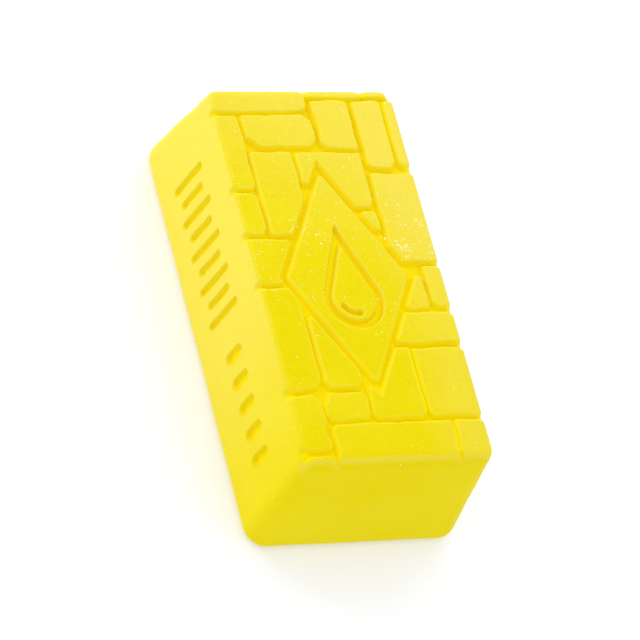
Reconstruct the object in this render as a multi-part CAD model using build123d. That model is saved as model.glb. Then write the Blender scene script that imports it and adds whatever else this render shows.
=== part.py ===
from build123d import *
import math
import os

# A moulded bar: a drafted block whose upper face is cast as irregular paving
# stones around a lozenge. X runs along the bar, -Y is the fluted side, Z is up,
# and the origin is the middle of the face that the bar rests on. Millimetres.

# ---- the block ----
BASE_LENGTH = 96.0
BASE_WIDTH = 48.3
HEIGHT = 29.5
END_INSET = 4.2  # how much each end leans in from base to top
SIDE_INSET = 2.9  # the same for each long side
BASE_CORNER = 4.8  # radius of the upright corners at the base
TOP_CORNER = 2.9
TOP_EDGE = 1.5
BASE_EDGE = 2.4

# ---- the relief ----
JOINT_DEPTH = 0.9  # from the stones' faces down to the joints between them
STONE_CORNER = 0.9  # radius of the stones' upright corners
STONE_RIM = 0.5  # radius round the edge of each stone's face
PANEL_DROP = 0.15  # the lozenge's face lies this far below the stones' faces
JOINT_FLOOR = HEIGHT - JOINT_DEPTH

# ---- the lozenge ----
LOZENGE_X, LOZENGE_Y = 1.2, -0.7
LOZENGE_HALF_LENGTH = 25.1
LOZENGE_HALF_WIDTH = 13.8
MOAT_HALF_LENGTH = 27.4  # the outer line of the groove round the lozenge
MOAT_HALF_WIDTH = 15.3
CHANNEL_DEPTH = 0.7  # how much deeper that groove is than the joints
CHANNEL_SIDE = 0.25  # flat left between that groove and the stones

# ---- the drop sunk in the lozenge, its tip towards -X ----
DROP_TIP_X = -11.0
DROP_BOWL_X = 6.6
DROP_BOWL_RADIUS = 6.6
DROP_LINE = 1.8
DROP_DEPTH = 1.1
GLINT_RADIUS = 3.1
GLINT_START, GLINT_SWEEP = -62.0, 74.0  # degrees

# ---- the flutes on the -Y side ----
FLUTE_DEPTH = 0.9
FINE_COUNT, FINE_FIRST_X, FINE_PITCH = 9, -31.0, 4.0
FINE_WIDTH, FINE_MIDDLE_Z = 1.5, 14.3
FINE_LONG, FINE_SHORT = 12.4, 9.2
BROAD_COUNT, BROAD_FIRST_X, BROAD_PITCH = 5, 10.6, 5.8
BROAD_WIDTH, BROAD_LENGTH, BROAD_MIDDLE_Z = 2.5, 6.4, 14.3

# Beyond the block, so that an outline point there is cut off by its skin.
FAR_X, FAR_Y = 60.0, 34.0

# Each stone's outline before its corners are rounded. Those that reach the
# lozenge are drawn through it and cut back to the groove round it.
STONES = {
    "stone_far_corner": [
        (-FAR_X, 0.3), (-40.0, 0.7), (-38.6, 0.0), (-38.1, -1.4), (-38.2, -FAR_Y), (-FAR_X, -FAR_Y),
    ],
    "stone_far_strip_lower": [(-FAR_X, 1.2), (-41.7, 1.2), (-41.7, 13.9), (-FAR_X, 13.9)],
    "stone_far_strip_upper": [(-FAR_X, 14.6), (-41.7, 14.6), (-41.9, FAR_Y), (-FAR_X, FAR_Y)],
    "stone_far_outer_long": [
        (-41.3, FAR_Y), (-41.2, 18.3), (-26.0, 18.3), (-24.8, 19.4), (-24.7, FAR_Y),
    ],
    "stone_far_inner_long": [
        (-41.2, 11.0), (-25.4, 10.9), (-24.3, 12.0), (-24.5, 16.2), (-26.0, 17.6), (-41.2, 17.6),
    ],
    "stone_far_middle": [
        (-41.2, 1.6), (-30.8, 1.6), (-29.3, 2.8), (-29.1, 10.0), (-41.2, 10.1),
    ],
    "stone_left_of_far_middle": [
        (-37.7, -1.2), (-36.2, 0.7), (-31.4, 0.7), (-29.7, -0.9), (-29.6, -12.4), (-31.9, -15.3),
        (-37.7, -15.3),
    ],
    "stone_left_edge_1": [(-37.6, -FAR_Y), (-37.5, -15.9), (-20.6, -15.9), (-19.5, -17.0), (-19.5, -FAR_Y)],
    "stone_left_edge_2": [
        (-18.9, -FAR_Y), (-18.8, -17.2), (-17.6, -16.1), (-10.0, -16.2), (-8.7, -17.3), (-8.6, -FAR_Y),
    ],
    "stone_left_edge_3": [(-8.0, -FAR_Y), (-8.0, -8.0), (2.8, -8.0), (2.8, -FAR_Y)],
    "stone_left_edge_4": [
        (3.5, -FAR_Y), (3.5, -12.9), (24.9, -13.0), (26.4, -14.2), (27.1, -16.8), (27.2, -FAR_Y),
    ],
    "stone_left_edge_5": [
        (28.2, -FAR_Y), (28.1, -16.1), (29.9, -14.2), (34.4, -14.1), (36.2, -15.2), (37.5, -15.1),
        (38.8, -14.0), (40.4, -14.9), (40.7, -FAR_Y),
    ],
    "stone_near_corner": [(41.7, -FAR_Y), (41.8, -16.2), (43.0, -14.2), (FAR_X, -14.2), (FAR_X, -FAR_Y)],
    "stone_lozenge_far_left": [(-28.7, -5.8), (-12.0, -5.8), (-8.6, -8.0), (-8.6, -15.5), (-28.8, -15.5)],
    "stone_lozenge_far_tip": [
        (-28.6, 9.9), (-16.6, 9.9), (-15.0, 8.6), (-15.0, -3.0), (-18.0, -5.2), (-28.5, -5.2),
    ],
    "stone_lozenge_sliver": [(-14.4, 2.0), (-14.4, 9.9), (-5.0, 10.1), (-5.0, 2.0)],
    "stone_right_edge_1": [(-23.9, FAR_Y), (-23.4, 10.8), (-5.0, 10.7), (-1.9, 11.0), (-1.9, FAR_Y)],
    "stone_right_edge_2": [
        (-1.2, FAR_Y), (-1.2, 16.8), (7.3, 16.8), (8.6, 17.9), (8.9, FAR_Y),
    ],
    "stone_lozenge_right_tip": [(1.2, 9.0), (0.3, 16.1), (8.4, 16.2), (9.2, 15.4), (9.2, 6.0)],
    "stone_right_edge_3": [(9.7, FAR_Y), (9.8, 3.0), (17.0, 3.0), (16.9, FAR_Y)],
    "stone_right_edge_4": [(17.9, FAR_Y), (18.0, 9.2), (32.8, 9.3), (33.8, 10.4), (33.8, FAR_Y)],
    "stone_lozenge_near_tip": [
        (17.8, 3.0), (17.9, 8.4), (32.8, 8.5), (34.0, 7.3), (34.0, -2.0), (32.7, -3.3), (24.0, -3.2),
    ],
    "stone_lozenge_near_left": [
        (9.8, -12.4), (9.8, -6.0), (18.0, -3.9), (25.5, -3.9), (26.9, -5.3), (26.9, -11.0), (25.3, -12.3),
    ],
    "stone_near_small": [
        (27.7, -5.2), (29.0, -3.9), (33.0, -3.9), (34.1, -5.0), (34.1, -12.6), (33.0, -13.7), (30.3, -13.7),
        (27.7, -11.9),
    ],
    "stone_near_end_long": [(34.7, -11.9), (36.1, -13.5), (FAR_X, -13.5), (FAR_X, 13.5), (34.7, 13.5)],
    "stone_near_end_short": [(34.7, 14.1), (FAR_X, 14.1), (FAR_X, FAR_Y), (34.6, FAR_Y)],
}


def bar_blank():
    """The whole block before its upper face is divided: leaning sides, rounded edges."""
    base = RectangleRounded(BASE_LENGTH, BASE_WIDTH, BASE_CORNER)
    top = RectangleRounded(BASE_LENGTH - 2 * END_INSET, BASE_WIDTH - 2 * SIDE_INSET, TOP_CORNER)
    block = loft([base, Pos(0, 0, HEIGHT) * top], ruled=True)
    block = fillet(block.faces().sort_by(Axis.Z)[-1].edges(), TOP_EDGE)
    return fillet(block.faces().sort_by(Axis.Z)[0].edges(), BASE_EDGE)


def lozenge(half_length, half_width):
    corners = [(half_length, 0), (0, half_width), (-half_length, 0), (0, -half_width)]
    return Pos(LOZENGE_X, LOZENGE_Y) * make_face(Polyline(*corners, close=True))


def raised(outline, floor, top):
    """A block from one level to another with rounded corners and a rounded rim."""
    core = offset(outline, -STONE_CORNER)
    outline = offset(core, STONE_CORNER)
    block = extrude(Pos(0, 0, floor) * outline, amount=top - floor)
    return fillet(block.faces().sort_by(Axis.Z)[-1].edges(), STONE_RIM)


def stone(points, blank):
    outline = make_face(Polyline(*points, close=True)) - lozenge(MOAT_HALF_LENGTH, MOAT_HALF_WIDTH)
    return raised(outline, JOINT_FLOOR, HEIGHT) & blank


def drop_outline(grow):
    """A drop: a round bowl with two straight flanks that meet at the tip."""
    radius = DROP_BOWL_RADIUS + grow
    reach = (DROP_BOWL_X - DROP_TIP_X) * radius / DROP_BOWL_RADIUS
    lean = math.acos(radius / reach)
    touch_x, touch_y = -radius * math.cos(lean), radius * math.sin(lean)
    bowl = ThreePointArc((touch_x, touch_y), (radius, 0), (touch_x, -touch_y))
    flanks = Polyline((touch_x, -touch_y), (-reach, 0), (touch_x, touch_y))
    return Pos(DROP_BOWL_X, LOZENGE_Y) * make_face(bowl + flanks)


def drop_cut():
    """The sunk line of the drop and the short curved glint inside it."""
    ring = drop_outline(0) - drop_outline(-DROP_LINE)
    arc = CenterArc((DROP_BOWL_X, LOZENGE_Y), GLINT_RADIUS, GLINT_START, GLINT_SWEEP)
    glint = SlotArc(arc, DROP_LINE * 0.7)
    floor = HEIGHT - PANEL_DROP - DROP_DEPTH
    return extrude(Pos(0, 0, floor) * (ring + glint), amount=2 * DROP_DEPTH)


def lozenge_panel():
    """The lozenge stands on the floor of the recess and is a little lower than the stones."""
    outline = lozenge(LOZENGE_HALF_LENGTH, LOZENGE_HALF_WIDTH)
    return raised(outline, JOINT_FLOOR - CHANNEL_DEPTH, HEIGHT - PANEL_DROP) - drop_cut()


def recess():
    """The sunk bed of the lozenge, wider than it, which leaves the groove round it."""
    share = 1 - CHANNEL_SIDE / MOAT_HALF_WIDTH
    bed = lozenge(MOAT_HALF_LENGTH * share, MOAT_HALF_WIDTH * share)
    return extrude(Pos(0, 0, JOINT_FLOOR - CHANNEL_DEPTH) * bed, amount=2 * CHANNEL_DEPTH)


def flute(x, width, length, middle_z):
    """An upright round-ended slot sunk in the leaning -Y side."""
    lean = math.degrees(math.atan2(SIDE_INSET, HEIGHT))
    side_y = -(BASE_WIDTH / 2 - SIDE_INSET * middle_z / HEIGHT)
    slot = extrude(SlotOverall(length, width, rotation=90), amount=FLUTE_DEPTH, both=True)
    return Pos(x, side_y, middle_z) * Rot(90 - lean, 0, 0) * slot


def flutes():
    cuts = []
    for i in range(FINE_COUNT):
        length = FINE_SHORT if i % 2 else FINE_LONG
        cuts.append(flute(FINE_FIRST_X + i * FINE_PITCH, FINE_WIDTH, length, FINE_MIDDLE_Z))
    for i in range(BROAD_COUNT):
        x = BROAD_FIRST_X + i * BROAD_PITCH
        cuts.append(flute(x, BROAD_WIDTH, BROAD_LENGTH, BROAD_MIDDLE_Z))
    return cuts


def bar_body(blank):
    above = Pos(0, 0, JOINT_FLOOR + HEIGHT / 2) * Box(2 * FAR_X, 2 * FAR_Y, HEIGHT)
    body = blank - above - recess()
    for cut in flutes():
        body -= cut
    return body


def main():
    os.makedirs("parts", exist_ok=True)
    blank = bar_blank()
    export_step(bar_body(blank), "parts/bar_body.step")
    export_step(lozenge_panel(), "parts/lozenge_panel.step")
    for name, points in STONES.items():
        export_step(stone(points, blank), f"parts/{name}.step")


main()
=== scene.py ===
"""A moulded yellow bar, cast with irregular paving stones round a lozenge on its upper face.

The relief is one height field over the bar's upper skin. Its steps follow the CAD nodes' own
outlines, and it is cut along the middle of every joint, so each CAD node has a closed piece.
Shapes are worked out in millimetres, in the CAD's frame, and become metres when a mesh is made.
"""
import math
from collections import Counter

import bpy
import numpy as np
from mathutils import Matrix, Vector


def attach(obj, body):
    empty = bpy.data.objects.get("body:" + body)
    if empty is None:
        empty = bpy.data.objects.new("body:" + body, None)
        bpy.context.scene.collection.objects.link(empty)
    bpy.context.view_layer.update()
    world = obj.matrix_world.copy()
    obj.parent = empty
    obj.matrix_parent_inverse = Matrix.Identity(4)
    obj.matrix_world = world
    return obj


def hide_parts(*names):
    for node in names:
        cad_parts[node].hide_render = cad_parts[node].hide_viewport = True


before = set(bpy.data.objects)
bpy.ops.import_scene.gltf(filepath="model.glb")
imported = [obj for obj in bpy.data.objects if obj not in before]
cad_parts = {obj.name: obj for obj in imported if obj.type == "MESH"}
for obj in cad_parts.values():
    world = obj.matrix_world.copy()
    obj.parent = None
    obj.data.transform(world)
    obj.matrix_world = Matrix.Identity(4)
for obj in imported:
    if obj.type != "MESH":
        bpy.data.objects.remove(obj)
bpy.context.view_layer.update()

rng = np.random.default_rng(7)
MM = 0.001

# Pairs such as CRISP_ALONG are for smoothstep: where something starts, and where it is full.

# ---- the block, as in the CAD ----
BASE_LENGTH, BASE_WIDTH, HEIGHT = 96.0, 48.3, 29.5
END_INSET, SIDE_INSET = 4.2, 2.9
BASE_CORNER, TOP_CORNER = 4.8, 2.9
BASE_EDGE = 2.4
JOINT_DEPTH = 0.9

# ---- the rounded rim of the upper face ----
RIM_RUN = 2.6  # the most that the rounding may take of the face
RIM_SIZE = 2.0  # size of the rounding
RIM_ENDS = 0.5  # what the edges above the two ends have besides
RIM_CRISP = 1.0  # what the edge above the -Y side has less, at its far end
CRISP_ALONG = (45, -15)  # how that grows along the bar
NOTCH = 1.0  # how far a joint cuts into the side where it runs out over the rim
NOTCH_MOUTH = 0.9  # the notch starts this far inside the stones beside it
CUT_DROP = 2.6  # the upper pieces meet the body this far below the face
NOTCH_DOWN = (CUT_DROP - 0.2, 0.9)  # how the notch fades out down the side, above that cut
RIM_BLEND = 0.3  # softness where the relief runs out over the rounding

# ---- the relief ----
GRID = 0.16  # spacing of the relief's points
STONE_RIM = 0.5  # the stones' faces start to fall this far inside their walls
JOINT_FOOT = 0.3  # and reach the joint's floor this far outside them
MOAT_DEPTH = 0.5  # extra depth of the groove round the lozenge
MOAT_STEP = (-0.1, -0.6)  # how that sets in outside the walls
LIP_IN, LIP_WIDTH = 0.42, 0.17  # the painted highlight along each stone's edge: how far inside its wall, how wide
LIP_ALONG = (95, -30)  # how the painted highlight grows towards the far end
LIP_DOWN = (1.6, 0.6)  # and how it fades out down the side
SHOULDER_LIP = 0.5  # how strong the painted highlight on the low step's edge is, against theirs
PILLOW_RUN, PILLOW_FALL = 2.6, 0.12  # the slow fall of each face towards its edge
NEAR_SHARE = 0.7  # the joints' depth at the near end, against the far end's
THINNING_ALONG = (-10, 30)  # how it sets in along the bar
SHALLOW_JOINTS = [  # stretches along the bar: from x, to x, at y, and the share of the usual depth
    (18, 33, 8.8, 0.4), (36, 50, 13.8, 0.4), (-41, -26, 18.0, 0.7),
]
SHALLOW_ACROSS = (1.6, 0.8)
SHALLOW_ENDS = 1  # softness of the stretches' ends
SHOULDER_IN, SHOULDER_WIDTH, SHOULDER_DROP = 0.5, 0.45, 0.16  # the stones' low step along the sides
SHOULDER_REACH = (4.0, 2.0)  # how it fades out away from the rim
SHOULDER_CORNER = 1.5
PANEL_DROP = 0.15  # how low the lozenge's face is
LEVEL_RANGE = (-0.05, 0.09)  # how low a stone's face is: least and most
MOST_TILT = 0.006  # the most that it rises or falls per millimetre
WOBBLE, WOBBLE_LENGTH = 0.09, 7.0  # how far the edges wander, and the length of their waves
WOBBLE_STARTS = (1.0, 1.2)  # only outside the moat, as shares of its half length and half width
SUNK_WALL = (0.46, 0.06)  # how the joints' painted glow sets in, inside the walls
SUNK_DOWN = (2.4, 0.9)  # and how it fades out down the side

# ---- the relief's outlines and its cuts ----
PAST_RIM = 6.0  # outlines that end at the block's skin are drawn this far past it
SKIN_SLACK = 0.3  # a point this near the skin counts as on it
WALL_REACH = 4.0  # beyond this far from a wall its distance isn't measured
EDGE_CODE = 10_000_000  # above the number of points, so that each edge has its own code
PINCH_ROUNDS = 6  # the most times that pinched points are looked for

# ---- the lozenge and the drop in it, as in the CAD ----
LOZENGE_X, LOZENGE_Y = 1.2, -0.7
MOAT_HALF_X, MOAT_HALF_Y = 27.4, 15.3
DROP_TIP_X, DROP_BOWL_X, DROP_BOWL_RADIUS = -11.0, 6.6, 6.6
DROP_LINE, DROP_DEPTH = 1.8, 1.1
GLINT_RADIUS, GLINT_START, GLINT_SWEEP = 3.1, -62.0, 74.0  # degrees
GLINT_LINE = DROP_LINE * 0.7
SUNK_EDGE = 0.28  # softness of the edges of whatever is sunk in a face
MARK_GLOW = (SUNK_EDGE, -0.1)  # how a sunk line's painted glow sets in, from outside it

# ---- the flutes on the -Y side, as in the CAD ----
FLUTE_DEPTH = 0.9
FLUTE_MIDDLE_Z = 14.3
FINE_COUNT, FINE_FIRST_X, FINE_PITCH = 9, -31.0, 4.0
FINE_WIDTH, FINE_LONG, FINE_SHORT = 1.5, 12.4, 9.2
BROAD_COUNT, BROAD_FIRST_X, BROAD_PITCH = 5, 10.6, 5.8
BROAD_WIDTH, BROAD_LENGTH = 2.5, 6.4
FLUTE_EDGE = 0.26  # softness of the flutes' edges

# ---- the body under the relief ----
ACROSS_FLUTES = 0.2  # spacing of the body's points along the fluted side
ALONG_PLAIN = 1.5  # and along the plain sides
CORNER_STEPS = 9
FLUTED_DROPS = (6.6, 23.0)  # the rows between these drops are close together
FLUTED_SPACING = 0.26
FIRST_ROW = 0.45  # the first row is this far below the cut
ROWS_ABOVE, ROWS_BELOW = 5, 5  # the rows above and below the close ones
EDGE_ROWS = 9  # the rows round the lower edge
EDGE_HALF_TURN = math.radians(48)  # half the turn from a leaning side to the base
UNEVEN_FROM_CUT, UNEVEN_FROM_BASE = 4, 3  # the sides' unevenness grows over these heights
UNEVEN_SLANT = 1.7  # how much y counts, against x, on the way round the sides
BASE_BORDER = 0.97  # the base is flat outside this share of its size
BASE_RINGS = (BASE_BORDER, 0.9, 0.75, 0.5, 0.25)
BASE_DISH = 0.3  # and this much hollow within, as cast faces are

# ---- painted sheen: the wax drawn paler where the lamps' light falls and reflects ----
SHEEN_SIDE_FACING, SHEEN_SIDE_ALONG = (0.2, 0.9), (50, -5)  # on the -Y side
SHEEN_FAR, SHEEN_FAR_SLANT, SHEEN_FAR_MOST = (2, -42), 0.7, 0.8  # at the upper face's far end
SHEEN_EDGE, SHEEN_EDGE_MOST = (5, 19), 0.45  # and towards its +Y edge
SHEEN_FACE_FACING = (0.3, 0.9)
SHEEN_RIM_FACING, SHEEN_RIM_NOT_FACING = (0.1, 0.4), (0.92, 0.6)  # on the rounding at the near end
SHEEN_RIM_ALONG, SHEEN_RIM_UP, SHEEN_RIM_MOST = (41, 43), (24, 27), 0.6


# ---------------------------------------------------------------- small sums

def smoothstep(start, full, x):
    """How much of something there is at x: 0 where it starts, 1 where it is full."""
    t = np.clip((x - start) / (full - start), 0.0, 1.0)
    return t * t * (3 - 2 * t)


def bell(x, middle, width):
    return np.exp(-((x - middle) / width) ** 2)


def smooth_max(a, b, blend):
    overlap = np.clip(1 - np.abs(a - b) / blend, 0.0, 1.0)
    return np.maximum(a, b) + overlap * overlap * blend / 4


def conic(start, middle, end, weight, t):
    """A rounded corner from start to end, tangent to the lines that meet in middle."""
    a, b, c = (1 - t) ** 2, 2 * weight * t * (1 - t), t**2
    return (a * start + b * middle + c * end) / (a + b + c)


class Waves:
    """Smooth seeded unevenness: plane waves of about the given length, added up."""

    def __init__(self, length, height, count=14):
        angle = rng.uniform(0, 2 * math.pi, count)
        number = 2 * math.pi / (length * rng.uniform(0.6, 1.6, count))
        self.kx, self.ky = number * np.cos(angle), number * np.sin(angle)
        self.phase = rng.uniform(0, 2 * math.pi, count)
        self.height = height * math.sqrt(2 / count)

    def __call__(self, x, y):
        total = np.zeros_like(x)
        for kx, ky, phase in zip(self.kx, self.ky, self.phase):
            total += np.sin(kx * x + ky * y + phase)
        return total * self.height


# ---------------------------------------------------------------- the skin of the block

TOP_CORE = np.array([BASE_LENGTH / 2 - END_INSET, BASE_WIDTH / 2 - SIDE_INSET]) - TOP_CORNER
BASE_CORE = np.array([BASE_LENGTH, BASE_WIDTH]) / 2 - BASE_CORNER
FACE_CORNER = TOP_CORNER - RIM_RUN
SKIN_REACH = RIM_RUN + CUT_DROP  # from the flat of the face, over the sharp edge, to the cut


def outline(along, u, drop, inset):
    """Plan points of the block, some drop below the face and inset from its sharp-edged sides.

    along picks the place on a straight side, from -1 to 1, and u is the plan direction there."""
    share = (drop / HEIGHT)[:, None]
    core = TOP_CORE + (BASE_CORE - TOP_CORE) * share
    corner = TOP_CORNER + (BASE_CORNER - TOP_CORNER) * share
    return along * core + u * (corner - inset[:, None])


def face_reach(p, q):
    """How far a point is past the flat of the face, along the skin, and in what direction."""
    point = np.stack([p, q], 1)
    out = np.maximum(np.abs(point) - TOP_CORE, 0)
    length = np.hypot(out[:, 0], out[:, 1])
    u = out / np.maximum(length, 1e-9)[:, None] * np.sign(point)
    return length - FACE_CORNER, u


def skin(p, q):
    """Rolls the flat sheet (p, q) over the block's rim: plan points, and their drop."""
    reach, u = face_reach(p, q)
    size = RIM_SIZE + RIM_ENDS * np.abs(u[:, 0])
    size -= RIM_CRISP * np.maximum(-u[:, 1], 0) * smoothstep(*CRISP_ALONG, p)
    inset = smooth_max(RIM_RUN - reach, 0, size)
    drop = smooth_max(reach - RIM_RUN, 0, size)
    point = np.stack([p, q], 1)
    over_rim = outline(np.clip(point / TOP_CORE, -1, 1), u, drop, inset)
    flat = reach <= 0
    plan = np.where(flat[:, None], point, over_rim)
    return plan[:, 0], plan[:, 1], np.where(flat, 0.0, drop)


# ---------------------------------------------------------------- the walls of the raised pieces

RAISED = sorted(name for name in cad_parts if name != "bar_body")
PANEL = RAISED.index("lozenge_panel")


def floor_loop(node):
    """The outline of a CAD node's lower face, as a closed loop of plan points."""
    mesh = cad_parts[node].data
    points = [tuple(round(c / MM, 2) for c in v.co) for v in mesh.vertices]
    level = min(z for _, _, z in points)
    edges = set()
    for face in mesh.polygons:
        corners = [points[i] for i in face.vertices]
        if face.normal.z < -0.9 and all(z == level for _, _, z in corners):
            edges.update(zip(corners, corners[1:] + corners[:1]))
    following = {a: b for a, b in edges if (b, a) not in edges}
    loop = [min(following)]
    while following[loop[-1]] != loop[0]:
        loop.append(following[loop[-1]])
    return np.array(loop)[:, :2]


def past_rim(loop):
    """The loop with its points on the block's skin moved far outside, so that no wall is there."""
    share = JOINT_DEPTH / HEIGHT
    out = np.maximum(np.abs(loop) - TOP_CORE - (BASE_CORE - TOP_CORE) * share, 0)
    length = np.hypot(out[:, 0], out[:, 1])[:, None]
    on_skin = length > TOP_CORNER + (BASE_CORNER - TOP_CORNER) * share - SKIN_SLACK
    u = out / np.maximum(length, 1e-9) * np.sign(loop)
    return np.where(on_skin, loop + u * PAST_RIM, loop)


def wall_distance(loop, x, y):
    """How far each point is inside a closed loop; negative outside it."""
    nearest = np.full(len(x), np.inf)
    inside = np.zeros(len(x), bool)
    for (ax, ay), (bx, by) in zip(loop, np.roll(loop, -1, axis=0)):
        ex, ey = bx - ax, by - ay
        t = np.clip(((x - ax) * ex + (y - ay) * ey) / (ex * ex + ey * ey), 0, 1)
        nearest = np.minimum(nearest, (x - ax - t * ex) ** 2 + (y - ay - t * ey) ** 2)
        if ay != by:
            crosses = ((ay > y) != (by > y)) & (x < ax + (y - ay) * ex / ey)
            inside ^= crosses
    return np.where(inside, 1, -1) * np.sqrt(nearest)


wander_x, wander_y = Waves(WOBBLE_LENGTH, WOBBLE), Waves(WOBBLE_LENGTH, WOBBLE)
loops = [past_rim(floor_loop(name)) for name in RAISED]


def walls(x, y):
    """One row for each raised piece: how far inside its walls each point is."""
    share = np.abs(x - LOZENGE_X) / MOAT_HALF_X + np.abs(y - LOZENGE_Y) / MOAT_HALF_Y
    stray = smoothstep(*WOBBLE_STARTS, share)  # the lozenge's own edges are straight
    x, y = x + stray * wander_x(x, y), y + stray * wander_y(x, y)
    rows = np.full((len(RAISED), len(x)), -WALL_REACH)
    for row, loop in zip(rows, loops):
        low, high = loop.min(0) - WALL_REACH, loop.max(0) + WALL_REACH
        near = (x > low[0]) & (x < high[0]) & (y > low[1]) & (y < high[1])
        row[near] = wall_distance(loop, x[near], y[near])
    return rows


# ---------------------------------------------------------------- the relief

def drop_mark(x, y):
    """How far each point is outside the sunk line of the drop."""
    x, y = x - DROP_BOWL_X, np.abs(y - LOZENGE_Y)
    sine = DROP_BOWL_RADIUS / (DROP_BOWL_X - DROP_TIP_X)
    cosine = math.sqrt(1 - sine * sine)
    on_flank = x * cosine + y * sine < 0
    shape = np.where(on_flank, y * cosine - x * sine, np.hypot(x, y)) - DROP_BOWL_RADIUS
    return np.abs(shape + DROP_LINE / 2) - DROP_LINE / 2


def glint_mark(x, y):
    """How far each point is outside the short curved line inside the drop."""
    x, y = x - DROP_BOWL_X, y - LOZENGE_Y
    first = math.radians(GLINT_START)
    angle = np.clip(np.arctan2(y, x), first, first + math.radians(GLINT_SWEEP))
    away = np.hypot(x - GLINT_RADIUS * np.cos(angle), y - GLINT_RADIUS * np.sin(angle))
    return away - GLINT_LINE / 2


swell, ripple = Waves(length=11.0, height=0.035), Waves(length=4.0, height=0.014)
joint_swell = Waves(length=16.0, height=0.12)
stone_level = rng.uniform(*LEVEL_RANGE, len(RAISED))
stone_tilt = rng.uniform(-MOST_TILT, MOST_TILT, (len(RAISED), 2))
stone_middle = np.array([loop.mean(0) for loop in loops])
stone_level[PANEL], stone_tilt[PANEL] = PANEL_DROP, 0


def joint_share(x, y):
    """How deep the joint at each point is, against the usual depth."""
    share = 1 - (1 - NEAR_SHARE) * smoothstep(*THINNING_ALONG, x)
    for start, end, middle, least in SHALLOW_JOINTS:
        along = smoothstep(start - SHALLOW_ENDS, start + SHALLOW_ENDS, x)
        along *= smoothstep(end + SHALLOW_ENDS, end - SHALLOW_ENDS, x)
        share -= (1 - least) * along * smoothstep(*SHALLOW_ACROSS, np.abs(y - middle))
    return share


def inside_shoulder(wall, rim_in):
    """How far each point is inside the stone's step beside the rim, whose corners are round."""
    a, b = SHOULDER_CORNER - wall, SHOULDER_CORNER - (rim_in - SHOULDER_IN)
    in_corner = (a > 0) & (b > 0)
    return SHOULDER_CORNER - np.where(in_corner, np.hypot(a, b), np.maximum(a, b))


def relief(x, y, inside, rim_in, toward_side):
    """The relief's drop below the flat of the face, and three shares from 0 to 1: how much each
    point is in a notch, how much painted glow its colour gets where sunk, and how much painted highlight
    it gets along the edge of a stone or line."""
    owner, wall = inside.argmax(0), inside.max(0)
    joint = smoothstep(STONE_RIM, -JOINT_FOOT, wall)
    own = stone_level[owner] + stone_tilt[owner, 0] * (x - stone_middle[owner, 0])
    own += stone_tilt[owner, 1] * (y - stone_middle[owner, 1])
    pillow = PILLOW_FALL * (1 - np.clip(wall / PILLOW_RUN, 0, 1)) ** 2
    beside_rim = toward_side * smoothstep(*SHOULDER_REACH, rim_in)
    step = inside_shoulder(wall, rim_in)
    shoulder = beside_rim * smoothstep(SHOULDER_WIDTH / 2, -SHOULDER_WIDTH / 2, step)
    face = own + pillow + swell(x, y) + ripple(x, y) + SHOULDER_DROP * shoulder
    floor = JOINT_DEPTH * joint_share(x, y) * (1 + joint_swell(x, y))
    floor += MOAT_DEPTH * smoothstep(*MOAT_STEP, wall)
    mark = np.minimum(drop_mark(x, y), glint_mark(x, y))
    sunk = smoothstep(SUNK_EDGE / 2, -SUNK_EDGE, mark)
    drop = face + (floor - face) * joint + DROP_DEPTH * sunk
    lip_highlight = np.maximum(bell(wall, LIP_IN, LIP_WIDTH), bell(mark, SUNK_EDGE / 2, LIP_WIDTH))
    lip_highlight = np.maximum(lip_highlight, SHOULDER_LIP * beside_rim * bell(step, SHOULDER_WIDTH / 2, LIP_WIDTH))
    deep = np.maximum(smoothstep(*SUNK_WALL, wall), smoothstep(*MARK_GLOW, mark))
    notch = smoothstep(NOTCH_MOUTH, -JOINT_FOOT, wall)
    return drop, notch, deep, lip_highlight * (1 - sunk) * smoothstep(*LIP_ALONG, x)


# ---------------------------------------------------------------- the sheet of points and its cuts

def sheet():
    """A flat triangulated sheet that covers the unrolled upper skin."""
    half = TOP_CORE + FACE_CORNER + SKIN_REACH + 2 * GRID
    columns, rows = (np.ceil(2 * half / GRID)).astype(int)
    p, q = np.meshgrid(np.linspace(-half[0], half[0], columns), np.linspace(-half[1], half[1], rows))
    index = np.arange(rows * columns).reshape(rows, columns)
    a, b = index[:-1, :-1].ravel(), index[:-1, 1:].ravel()
    c, d = index[1:, 1:].ravel(), index[1:, :-1].ravel()
    triangles = np.concatenate([np.stack([a, b, c], 1), np.stack([a, c, d], 1)])
    return p.ravel(), q.ravel(), triangles


def directed_edges(triangles):
    return np.concatenate([triangles[:, [0, 1]], triangles[:, [1, 2]], triangles[:, [2, 0]]])


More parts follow.
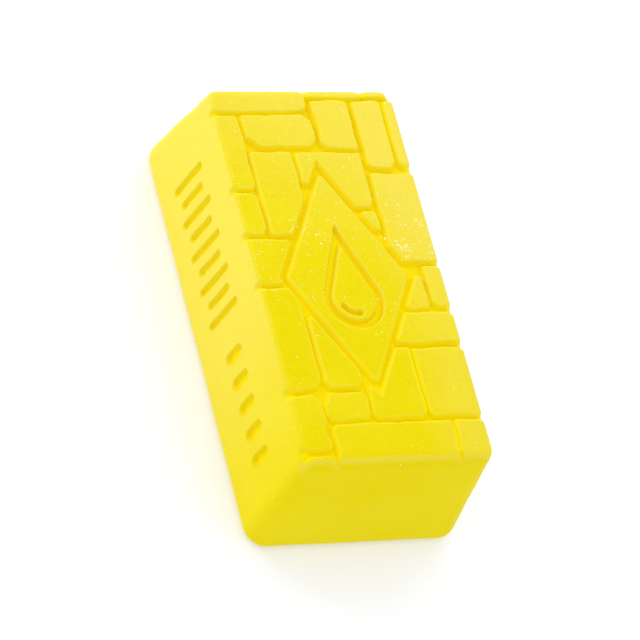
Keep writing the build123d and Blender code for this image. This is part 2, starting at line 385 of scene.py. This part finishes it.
def move_to_seams(p, q, triangles):
    """Moves the sheet's points beside a seam onto it, and says which piece each triangle is in.

    A seam is where two pieces' walls are equally far, or where the skin ends. A triangle past
    that end gets the number -1."""
    x, y, _ = skin(p, q)
    inside, reach = walls(x, y), face_reach(p, q)[0]
    owner = np.where(reach > SKIN_REACH, -1, inside.argmax(0))
    ends = np.unique(np.sort(directed_edges(triangles), 1), axis=0)
    a, b = ends[owner[ends[:, 0]] != owner[ends[:, 1]]].T
    past_end = (owner[a] < 0) | (owner[b] < 0)
    lead_a = np.where(past_end, SKIN_REACH - reach[a], inside[owner[a], a] - inside[owner[b], a])
    lead_b = np.where(past_end, SKIN_REACH - reach[b], inside[owner[a], b] - inside[owner[b], b])
    share = lead_a / (lead_a - lead_b)
    mover, other = np.where(share < 0.5, a, b), np.where(share < 0.5, b, a)
    share = np.minimum(share, 1 - share)
    last_wins = np.argsort(np.where(past_end, -1.0, share))[::-1]
    mover, other, share = mover[last_wins], other[last_wins], share[last_wins]
    on_seam = np.zeros(len(p), bool)
    on_seam[mover] = True
    new_p, new_q = p.copy(), q.copy()
    new_p[mover] = p[mover] + share * (p[other] - p[mover])
    new_q[mover] = q[mover] + share * (q[other] - q[mover])

    own = np.where(on_seam, -2, owner)[triangles].max(1)
    all_on_seam = on_seam[triangles].all(1)
    lead = inside[:, triangles[all_on_seam]].sum(2).argmax(0)
    beyond = (reach[triangles[all_on_seam]] > SKIN_REACH).sum(1) > 1
    own[all_on_seam] = np.where(beyond, -1, lead)
    past = (np.where(on_seam, 0, owner)[triangles] == -1).any(1)
    return new_p, new_q, without_pinches(triangles, np.where(past, -1, own))


def without_pinches(triangles, own):
    """Where a piece only touches itself in a point, gives that point's triangles to one piece: to
    the one that has most of them."""
    own = own.copy()
    for _ in range(PINCH_ROUNDS):
        pinched = set()
        for number in range(len(RAISED)):
            starts = [a for a, b in border_edges(triangles[own == number])]
            pinched.update(a for a, count in Counter(starts).items() if count > 1)
        for point in sorted(pinched):
            around = (triangles == point).any(1) & (own >= 0)
            own[around] = np.bincount(own[around]).argmax()
        if not pinched:
            break
    return own


def vertex_normals(points, triangles):
    a, b, c = points[triangles].transpose(1, 0, 2)
    across = np.cross(b - a, c - a)
    total = np.zeros_like(points)
    for corner in range(3):
        np.add.at(total, triangles[:, corner], across)
    return total / np.maximum(np.linalg.norm(total, axis=1), 1e-12)[:, None]


def border_edges(triangles):
    """The directed edges that only one triangle has."""
    pairs = directed_edges(triangles)
    code = pairs[:, 0] * EDGE_CODE + pairs[:, 1]
    lonely = ~np.isin(code, pairs[:, 1] * EDGE_CODE + pairs[:, 0])
    return pairs[lonely].tolist()


def border_loops(triangles):
    """The loops round a set of triangles, in the triangles' own sense."""
    following = dict(border_edges(triangles))
    loops = []
    while following:
        loop = [min(following)]
        while True:
            step = following.pop(loop[-1])
            if step == loop[0]:
                break
            loop.append(step)
        loops.append(loop)
    return loops


# ---------------------------------------------------------------- the body under the relief

def flute_sunk(x, z):
    """How deep the flutes are, from 0 to 1, at points of the -Y side."""
    sunk = np.zeros_like(x)
    fine = [(FINE_FIRST_X + i * FINE_PITCH, FINE_WIDTH, FINE_SHORT if i % 2 else FINE_LONG)
            for i in range(FINE_COUNT)]
    broad = [(BROAD_FIRST_X + i * BROAD_PITCH, BROAD_WIDTH, BROAD_LENGTH) for i in range(BROAD_COUNT)]
    for middle, width, length in fine + broad:
        beyond = np.maximum(np.abs(z - FLUTE_MIDDLE_Z) - (length - width) / 2, 0)
        outside = np.hypot(x - middle, beyond) - width / 2
        sunk = np.maximum(sunk, smoothstep(FLUTE_EDGE / 2, -FLUTE_EDGE, outside))
    return sunk


def ring_places():
    """Places round the block, from the far end's +Y corner on: along and u, as outline has them."""
    steps = [ALONG_PLAIN, ACROSS_FLUTES, ALONG_PLAIN, ALONG_PLAIN]
    normals = [(-1, 0), (0, -1), (1, 0), (0, 1)]
    places = []
    for side, (nx, ny) in enumerate(normals):
        half = TOP_CORE[1] if nx else TOP_CORE[0]
        for t in np.linspace(-1, 1, int(2 * half / steps[side]) + 1):
            along = (nx, t * nx) if nx else (-t * ny, ny)
            places.append((*along, nx, ny))
        corner = (nx, nx) if nx else (-ny, ny)
        turn = np.radians(90 * np.arange(1, CORNER_STEPS) / CORNER_STEPS)
        places += [(*corner, nx * math.cos(a) - ny * math.sin(a), ny * math.cos(a) + nx * math.sin(a))
                   for a in turn]
    return np.array(places, float)


def ring_profile():
    """The body's rows from the cut to the base: the drop of each, and how far it is rounded in."""
    above = np.linspace(CUT_DROP + FIRST_ROW, FLUTED_DROPS[0], ROWS_ABOVE + 1)[:-1]
    close = np.arange(*FLUTED_DROPS, FLUTED_SPACING)
    run = BASE_EDGE * math.tan(EDGE_HALF_TURN)
    below = np.linspace(FLUTED_DROPS[1], HEIGHT - run, ROWS_BELOW)
    straight = np.concatenate([above, close, below])
    t = np.linspace(0, 1, EDGE_ROWS + 1)[1:]
    drop = conic(HEIGHT - run, HEIGHT, HEIGHT, math.cos(EDGE_HALF_TURN), t)
    inset = conic(0, 0, run, math.cos(EDGE_HALF_TURN), t)
    return np.append(straight, drop), np.append(np.zeros(len(straight)), inset)


side_swell, side_ripple = Waves(length=17.0, height=0.06), Waves(length=5.0, height=0.016)


def body_rings():
    """Rows of points down the sides and across the base, as an array of rows, places and x, y, z."""
    along, u = np.split(ring_places(), 2, axis=1)
    fluted = u[:, 1] < -0.99  # the straight -Y side
    rows, sunk_rows = [], []
    for drop, inset in zip(*ring_profile()):
        full = np.full(len(u), drop)
        plan = outline(along, u, full, np.full(len(u), inset))
        z = HEIGHT - full
        fade = smoothstep(CUT_DROP, CUT_DROP + UNEVEN_FROM_CUT, drop)
        fade *= smoothstep(HEIGHT, HEIGHT - UNEVEN_FROM_BASE, drop)
        round_way = plan[:, 0] + UNEVEN_SLANT * plan[:, 1]
        uneven = (side_swell(round_way, z) + side_ripple(round_way, z)) * fade
        sunk = np.where(fluted, flute_sunk(plan[:, 0], z), 0)
        plan = plan - u * (uneven + FLUTE_DEPTH * sunk)[:, None]
        rows.append(np.column_stack([plan, z]))
        sunk_rows.append(sunk)
    edge = rows[-1]
    for share in BASE_RINGS:
        rise = BASE_DISH * (1 - share**2) if share < BASE_BORDER else 0.0
        rows.append(edge * (share, share, 0) + (0, 0, rise))
        sunk_rows.append(np.zeros(len(edge)))
    return np.array(rows), np.array(sunk_rows)


def zip_loops(upper, lower, points):
    """Triangles between two loops that go the same way round, one close above the other."""
    def way_round(loop):
        angle = np.arctan2(points[loop, 1] / BASE_WIDTH, points[loop, 0] / BASE_LENGTH)
        first = int(angle.argmin())
        return np.roll(loop, -first), np.append(np.roll(angle, -first), angle.min() + 2 * math.pi)

    upper, upper_angle = way_round(np.array(upper))
    lower, lower_angle = way_round(np.array(lower))
    triangles, i, j = [], 0, 0
    while i < len(upper) or j < len(lower):
        a, b = upper[i % len(upper)], lower[j % len(lower)]
        take_upper = j == len(lower) or (i < len(upper) and upper_angle[i + 1] < lower_angle[j + 1])
        if take_upper:
            i += 1
            triangles.append((a, b, upper[i % len(upper)]))
        else:
            j += 1
            triangles.append((a, b, lower[j % len(lower)]))
    return np.array(triangles)


def ring_triangles(first, rows, places):
    """Triangles between rows of points that go round the block, numbered from the first point on."""
    index = first + np.arange(rows * places).reshape(rows, places)
    a, b = index[:-1], np.roll(index[:-1], -1, axis=1)
    d, c = index[1:], np.roll(index[1:], -1, axis=1)
    return np.concatenate([np.stack([a, d, c], 2).reshape(-1, 3), np.stack([a, c, b], 2).reshape(-1, 3)])


# ---------------------------------------------------------------- the whole skin, then the pieces

def whole_skin():
    """Points, triangles, the piece that each triangle is in, and the loop of points at the cut.
    Beside them, how sunk each point is, and how much painted highlight it gets."""
    p, q, triangles = sheet()
    p, q, own = move_to_seams(p, q, triangles)
    x, y, skin_drop = skin(p, q)
    reach, u = face_reach(p, q)
    relief_drop, notch, sunk, lip_highlight = relief(x, y, walls(x, y), RIM_RUN - reach, np.abs(u[:, 1]))
    cut_in = NOTCH * notch * smoothstep(0, RIM_RUN, reach) * smoothstep(*NOTCH_DOWN, skin_drop)
    x, y = x - u[:, 0] * cut_in, y - u[:, 1] * cut_in
    sheet_points = np.column_stack([x, y, HEIGHT - smooth_max(skin_drop, relief_drop, RIM_BLEND)])
    triangles, own = triangles[own >= 0], own[own >= 0]
    rim = border_loops(triangles)[0]
    sheet_points[rim, 2] = HEIGHT - CUT_DROP

    rings, ring_sunk = body_rings()
    rows, places = rings.shape[:2]
    first = len(sheet_points)
    points = np.concatenate([sheet_points, rings.reshape(-1, 3), [(0, 0, BASE_DISH)]])
    sides = np.concatenate([zip_loops(rim, first + np.arange(places), points),
                            ring_triangles(first, rows, places)])
    inner = first + (rows - 1) * places + np.arange(places)
    base = np.column_stack([np.full(places, len(points) - 1), np.roll(inner, -1), inner])
    body = np.concatenate([sides, base])
    triangles = np.concatenate([triangles, body])
    own = np.concatenate([own, np.full(len(body), len(RAISED))])
    sunk = np.concatenate([sunk * smoothstep(*SUNK_DOWN, skin_drop), ring_sunk.ravel(), [0]])
    lip_highlight = np.concatenate([lip_highlight * smoothstep(*LIP_DOWN, skin_drop), np.zeros(len(points) - first)])
    return points, triangles, own, rim, sunk, lip_highlight


def painted_sheen_on(points, normals):
    """How much painted sheen the wax gets, from 0 to 1, where the lamps' light falls and reflects:
    on the -Y side, the near rim, and the upper face's far end and +Y edge."""
    x, y, z = points.T
    side = smoothstep(*SHEEN_SIDE_FACING, -normals[:, 1]) * smoothstep(*SHEEN_SIDE_ALONG, x)
    face = SHEEN_FAR_MOST * smoothstep(*SHEEN_FAR, x - SHEEN_FAR_SLANT * y)
    face += SHEEN_EDGE_MOST * smoothstep(*SHEEN_EDGE, y)
    face *= smoothstep(*SHEEN_FACE_FACING, normals[:, 2])
    near_rim = smoothstep(*SHEEN_RIM_FACING, normals[:, 0])
    near_rim *= smoothstep(*SHEEN_RIM_NOT_FACING, normals[:, 0])
    near_rim *= SHEEN_RIM_MOST * smoothstep(*SHEEN_RIM_ALONG, x) * smoothstep(*SHEEN_RIM_UP, z)
    return np.clip(np.maximum(np.maximum(side, face), near_rim), 0, 1)


def set_normals(mesh, faces, smooth):
    """Smooth normals for the corners of the first faces, and flat ones for the rest."""
    flat = np.empty(len(faces) * 3)
    mesh.polygons.foreach_get("normal", flat)
    corners = np.array([len(face) for face in faces])
    normals = np.repeat(flat.reshape(-1, 3), corners, axis=0)
    normals[:len(smooth)] = smooth
    mesh.normals_split_custom_set(normals.tolist())


def add_piece(name, part, skin_points, skin_normals, on_rim, marks):
    """A closed piece: its triangles of the skin, walls down to the cut, and a flat face there."""
    loop = np.array(border_loops(part)[0])
    used = np.unique(part)
    at = np.full(len(skin_points), -1)
    at[used] = np.arange(len(used))
    lowered = loop[~on_rim[loop]]
    under = at.copy()
    under[lowered] = len(used) + np.arange(len(lowered))
    points = np.concatenate([skin_points[used], skin_points[lowered] * (1, 1, 0)])
    points[len(used):, 2] = HEIGHT - CUT_DROP

    faces = at[part].tolist()
    for a, b in zip(loop, np.roll(loop, -1)):
        wall = [at[a], under[a], under[b], at[b]]
        wall = [v for i, v in enumerate(wall) if v != wall[i - 1]]
        if len(wall) > 2:
            faces.append(wall)
    faces.append(under[loop[::-1]].tolist())

    mesh = bpy.data.meshes.new(name)
    mesh.from_pydata((points * MM).tolist(), [], faces)
    for label, values in marks.items():
        mesh.attributes.new(label, "FLOAT", "POINT").data.foreach_set(
            "value", np.concatenate([values[used], values[lowered]]))
    set_normals(mesh, faces, skin_normals[part.ravel()])
    piece = bpy.data.objects.new(name, mesh)
    bpy.context.scene.collection.objects.link(piece)
    return piece


points, triangles, own, rim, sunk, lip_highlight = whole_skin()
normals = vertex_normals(points, triangles)
on_rim = np.zeros(len(points), bool)
on_rim[rim] = True
# the marks: how sunk each point is (for the painted glow, fewer specks and smoother bumps), the painted
# highlight along edges, and the painted sheen
marks = {"sunk": sunk, "lip_highlight": lip_highlight, "painted_sheen": painted_sheen_on(points, normals)}
pieces = []
for number, node in enumerate(RAISED + ["bar_body"]):
    piece = add_piece(node + "_cast", triangles[own == number], points, normals, on_rim, marks)
    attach(piece, "root")
    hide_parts(node)
    pieces.append(piece)


# ---------------------------------------------------------------- the wax

class Nodes:
    """Short calls that add shader nodes and link them."""

    def __init__(self, material):
        material.use_nodes = True
        self.tree = material.node_tree
        self.tree.nodes.clear()

    def add(self, kind, inputs=None, **settings):
        node = self.tree.nodes.new("ShaderNode" + kind)
        for key, value in settings.items():
            setattr(node, key, value)
        for key, value in (inputs or {}).items():
            if isinstance(value, bpy.types.NodeSocket):
                self.tree.links.new(value, node.inputs[key])
            else:
                node.inputs[key].default_value = value
        return node

    def math(self, operation, a, b=0.0, c=0.0):
        node = self.add("Math", {0: a, 1: b, 2: c}, operation=operation)
        return node.outputs[0]

    def ramp(self, value, low, high, to_low=0.0, to_high=1.0):
        """Goes smoothly from to_low, where the value is low, to to_high."""
        node = self.add("MapRange", {0: value, 1: low, 2: high, 3: to_low, 4: to_high},
                        interpolation_type="SMOOTHSTEP")
        return node.outputs[0]

    def noise(self, place, per_metre, detail=2.0, roughness=0.5):
        node = self.add("TexNoise", {"Vector": place, "Scale": per_metre, "Detail": detail,
                                     "Roughness": roughness})
        return node.outputs[0]

    def mix(self, share, a, b):
        """Colour a, with a share of colour b."""
        node = self.add("Mix", {0: share, 6: a, 7: b}, data_type="RGBA")
        return node.outputs[2]

    def mark(self, label):
        """What the mesh's points carry under a label."""
        node = self.add("Attribute", attribute_name=label, attribute_type="GEOMETRY")
        return node.outputs["Fac"]


WAX = (0.805, 0.665, 0.001, 1)
WAX_PALE = (0.825, 0.69, 0.008, 1)
# painted sheen: paler, whiter wax where the lamps' light falls and reflects
WAX_PAINTED_SHEEN = (0.845, 0.70, 0.072, 1)
# painted glow: joints and sunk lines drawn brighter and more golden, standing in for light that the wax
# lets through and bounces there
WAX_JOINT_GLOW = (0.91, 0.725, 0.0, 1)
# painted highlight along the edges of the stones, the low step and the sunk lines
WAX_LIP_HIGHLIGHT = (0.87, 0.745, 0.07, 1)
SPECK = (1.0, 1.0, 0.92, 1)

# Layers of specks: cells per metre, radius in cells, the share of the cells that hold a speck,
# outside a crowd and in one, and how pale the specks are, least and most.
SPECKS = [
    (1500.0, 0.33, 0.0, 0.55, 0.8, 1.0),
    (2300.0, 0.34, 0.010, 0.75, 0.5, 1.0),
    (3300.0, 0.36, 0.13, 0.7, 0.10, 0.5),
]

# Where the specks crowd, how widely, and how densely.
GLITTER_SPOTS = [
    ((-5.3, 14.6), 3.8, 2.6), ((-7.5, 17.5), 11.0, 0.55), ((-5.0, 19.5), 5.0, 0.8),
    ((-9.0, -4.0), 7.0, 0.6), ((-10.0, -8.0), 6.0, 0.5), ((-3.0, 10.0), 6.0, 0.7),
]
SPECKS_UP = (24 * MM, 28.5 * MM, 0.15, 1.0)  # a ramp of their number up the bar
SPECKS_ALONG = (-15 * MM, 30 * MM, 1.0, 0.3)  # and along it
SMALLEST_SPECK = 0.4  # against the largest

# Noises: how many per metre, their detail and roughness. Ramps: from, to, and the values there,
# which are 0 and 1 where none are given.
CLOUDS, CLOUD_RAMP = (60, 4.0, 0.6), (0.35, 0.68)
GRAINS, GRAIN_RAMP = (2300, 2.0), (0.3, 0.72, 0.975, 1.02)
# a noise that breaks up the painted highlight along the edges
HIGHLIGHT_BREAKS, HIGHLIGHT_BREAK_RAMP = (420, 2.0), (0.25, 0.6, 0.35, 0.8)
PATCHES, PATCH_RAMP = (260, 2.0), (0.40, 0.62)
ROUGH, ROUGH_RAMP = (150, 3.0), (0.3, 0.7, 0.42, 0.55)
FINE_BUMPS, FINE_HEIGHT, FINE_STRENGTH = (2400, 3.0, 0.6), 0.00009, 0.25  # heights in metres
PIT_BUMPS, PIT_HEIGHT, PIT_STRENGTH = (640, 3.0, 0.6), 0.0002, 0.2

# the most that the joints and sunk lines get of the painted glow
MOST_JOINT_GLOW = 0.9
SUNK_FEWER_SPECKS = 0.7  # the share of the specks that the joints lack
SUNK_SMOOTHER = 0.85  # and of the bumps, because the mould left them smoother
SPECK_GLOSS = 0.2  # how much less rough a speck is


def glitter(n, place, sunk_here):
    """How much of a speck each point has, from 0 to 1."""
    crowd = None
    for (x, y), width, most in GLITTER_SPOTS:
        spot = (x * MM, y * MM, HEIGHT * MM)
        away = n.add("VectorMath", {0: place, 1: spot}, operation="DISTANCE").outputs["Value"]
        near = n.ramp(away, width * MM, 0.0, 0.0, most)
        crowd = near if crowd is None else n.math("MAXIMUM", crowd, near)
    crowd = n.math("MULTIPLY", crowd, n.ramp(n.noise(place, *PATCHES), *PATCH_RAMP))

    parts = n.add("SeparateXYZ", {0: place}).outputs
    upper = n.math("MULTIPLY", n.ramp(parts["Z"], *SPECKS_UP), n.ramp(parts["X"], *SPECKS_ALONG))
    upper = n.math("MULTIPLY", upper, n.math("MULTIPLY_ADD", sunk_here, -SUNK_FEWER_SPECKS, 1.0))

    speck = None
    for per_metre, size, few, many, dimmest, palest in SPECKS:
        cells = n.add("TexVoronoi", {"Vector": place, "Scale": per_metre, "Randomness": 1.0})
        chance = n.add("SeparateColor", {0: cells.outputs["Color"]})
        share = n.math("MULTIPLY", n.math("MULTIPLY_ADD", crowd, many - few, few), upper)
        chosen = n.math("LESS_THAN", chance.outputs[0], share)
        radius = n.math("MULTIPLY_ADD", chance.outputs[1], size * (1 - SMALLEST_SPECK),
                        size * SMALLEST_SPECK)
        dot = n.math("LESS_THAN", cells.outputs["Distance"], radius)
        bright = n.math("MULTIPLY_ADD", chance.outputs[2], palest - dimmest, dimmest)
        one = n.math("MULTIPLY", n.math("MULTIPLY", chosen, dot), bright)
        speck = one if speck is None else n.math("MAXIMUM", speck, one)
    return speck


def wax_colour(n, place, sunk_here, speck):
    """Cloudy yellow, with painted sheen, a painted glow in the joints, painted highlights along the
    edges, and the specks.
    """
    colour = n.mix(n.ramp(n.noise(place, *CLOUDS), *CLOUD_RAMP), WAX, WAX_PALE)
    # painted sheen where the lamps' light falls and reflects
    colour = n.mix(n.mark("painted_sheen"), colour, WAX_PAINTED_SHEEN)
    grains = n.ramp(n.noise(place, *GRAINS), *GRAIN_RAMP)
    colour = n.add("VectorMath", {0: colour, "Scale": grains}, operation="SCALE").outputs[0]
    # painted glow in the joints and sunk lines
    colour = n.mix(n.math("MULTIPLY", sunk_here, MOST_JOINT_GLOW), colour, WAX_JOINT_GLOW)
    # painted highlight along the edges, broken up by noise
    patchy = n.ramp(n.noise(place, *HIGHLIGHT_BREAKS), *HIGHLIGHT_BREAK_RAMP)
    colour = n.mix(n.math("MULTIPLY", n.mark("lip_highlight"), patchy), colour, WAX_LIP_HIGHLIGHT)
    return n.mix(speck, colour, SPECK)


def wax_bumps(n, place, sunk_here):
    """The normal of the cast skin, which is finely grained and pitted, and smoother where sunk."""
    coarse = n.math("MULTIPLY_ADD", sunk_here, -SUNK_SMOOTHER, 1.0)
    grain = n.add("Bump", {"Height": n.noise(place, *FINE_BUMPS), "Distance": FINE_HEIGHT,
                           "Strength": n.math("MULTIPLY", coarse, FINE_STRENGTH)})
    pitted = n.add("Bump", {"Height": n.noise(place, *PIT_BUMPS), "Distance": PIT_HEIGHT,
                            "Strength": n.math("MULTIPLY", coarse, PIT_STRENGTH),
                            "Normal": grain.outputs[0]})
    return pitted.outputs[0]


def wax_material():
    material = bpy.data.materials.new("yellow_wax")
    n = Nodes(material)
    place = n.add("TexCoord").outputs["Object"]
    sunk_here = n.mark("sunk")
    speck = glitter(n, place, sunk_here)
    rough = n.ramp(n.noise(place, *ROUGH), *ROUGH_RAMP)
    rough = n.math("SUBTRACT", rough, n.math("MULTIPLY", speck, SPECK_GLOSS))
    shader = n.add("BsdfPrincipled", {"Base Color": wax_colour(n, place, sunk_here, speck),
                                      "Roughness": rough,
                                      "Normal": wax_bumps(n, place, sunk_here)})
    shader.inputs["IOR"].default_value = 1.22
    shader.inputs["Specular IOR Level"].default_value = 0.16
    shader.inputs["Specular Tint"].default_value = (1.0, 0.95, 0.3, 1.0)
    n.add("OutputMaterial", {"Surface": shader.outputs[0]})
    return material


wax = wax_material()
for piece in pieces:
    piece.data.materials.append(wax)


# ---------------------------------------------------------------- floor, light and camera

FLOOR_HALF = 6.0  # metres
FLOOR_PATCHES = (3, 2.0)
FLOOR_COLOURS = (0.85, 0.87, 0.96, 1), (0.87, 0.89, 0.98, 1)  # a little blue against the yellow glow
FLOOR_GLOW, FLOOR_GLOW_STRENGTH = (0.94, 0.96, 1, 1), 0.16
WORLD_STRENGTH = 0.975
CAMERA_AT = Vector((368.54, -373.89, 671.15)) * MM
CAMERA_AZIMUTH, CAMERA_ELEVATION, CAMERA_ROLL = 44.46, 51.52, 37.25  # degrees
CAMERA_SENSOR, CAMERA_LENS = 36.0, 229.8


def floor_material():
    material = bpy.data.materials.new("white_floor")
    n = Nodes(material)
    place = n.add("TexCoord").outputs["Object"]
    colour = n.mix(n.noise(place, *FLOOR_PATCHES), *FLOOR_COLOURS)
    shader = n.add("BsdfPrincipled", {"Base Color": colour})
    shader.inputs["Roughness"].default_value = 0.9
    shader.inputs["Specular IOR Level"].default_value = 0.1
    shader.inputs["Emission Color"].default_value = FLOOR_GLOW
    shader.inputs["Emission Strength"].default_value = FLOOR_GLOW_STRENGTH
    n.add("OutputMaterial", {"Surface": shader.outputs[0]})
    return material


def add_floor(half):
    mesh = bpy.data.meshes.new("floor")
    corners = [(-half, -half, 0), (half, -half, 0), (half, half, 0), (-half, half, 0)]
    mesh.from_pydata(corners, [], [(0, 1, 2, 3)])
    mesh.materials.append(floor_material())
    floor = bpy.data.objects.new("floor", mesh)
    bpy.context.scene.collection.objects.link(floor)


def add_softbox(name, place, width, height, power):
    """An area light at a place, in metres, facing the bar."""
    light = bpy.data.lights.new(name, "AREA")
    light.shape = "RECTANGLE"
    light.size, light.size_y = width, height
    light.energy = power
    lamp = bpy.data.objects.new(name, light)
    lamp.location = place
    lamp.rotation_euler = Vector(place).to_track_quat("Z", "Y").to_euler()
    bpy.context.scene.collection.objects.link(lamp)


def add_world():
    world = bpy.data.worlds.new("studio")
    bpy.context.scene.world = world
    world.use_nodes = True
    background = world.node_tree.nodes["Background"]
    background.inputs["Color"].default_value = (1, 1, 1, 1)
    background.inputs["Strength"].default_value = WORLD_STRENGTH


def add_camera():
    camera = bpy.data.objects.new("camera", bpy.data.cameras.new("camera"))
    camera.location = CAMERA_AT
    camera.rotation_euler = (Matrix.Rotation(math.radians(CAMERA_AZIMUTH), 3, "Z")
                             @ Matrix.Rotation(math.radians(90 - CAMERA_ELEVATION), 3, "X")
                             @ Matrix.Rotation(math.radians(CAMERA_ROLL), 3, "Z")).to_euler()
    camera.data.sensor_width = CAMERA_SENSOR
    camera.data.lens = CAMERA_LENS
    bpy.context.scene.collection.objects.link(camera)
    bpy.context.scene.camera = camera


add_floor(FLOOR_HALF)
add_softbox("key", place=(-0.29, -0.28, 0.12), width=0.22, height=0.20, power=0.41)
add_softbox("over_far_end", place=(-0.18, 0.14, 0.27), width=0.2, height=0.2, power=0.17)
add_world()
add_camera()
bpy.context.scene.view_settings.view_transform = "Standard"
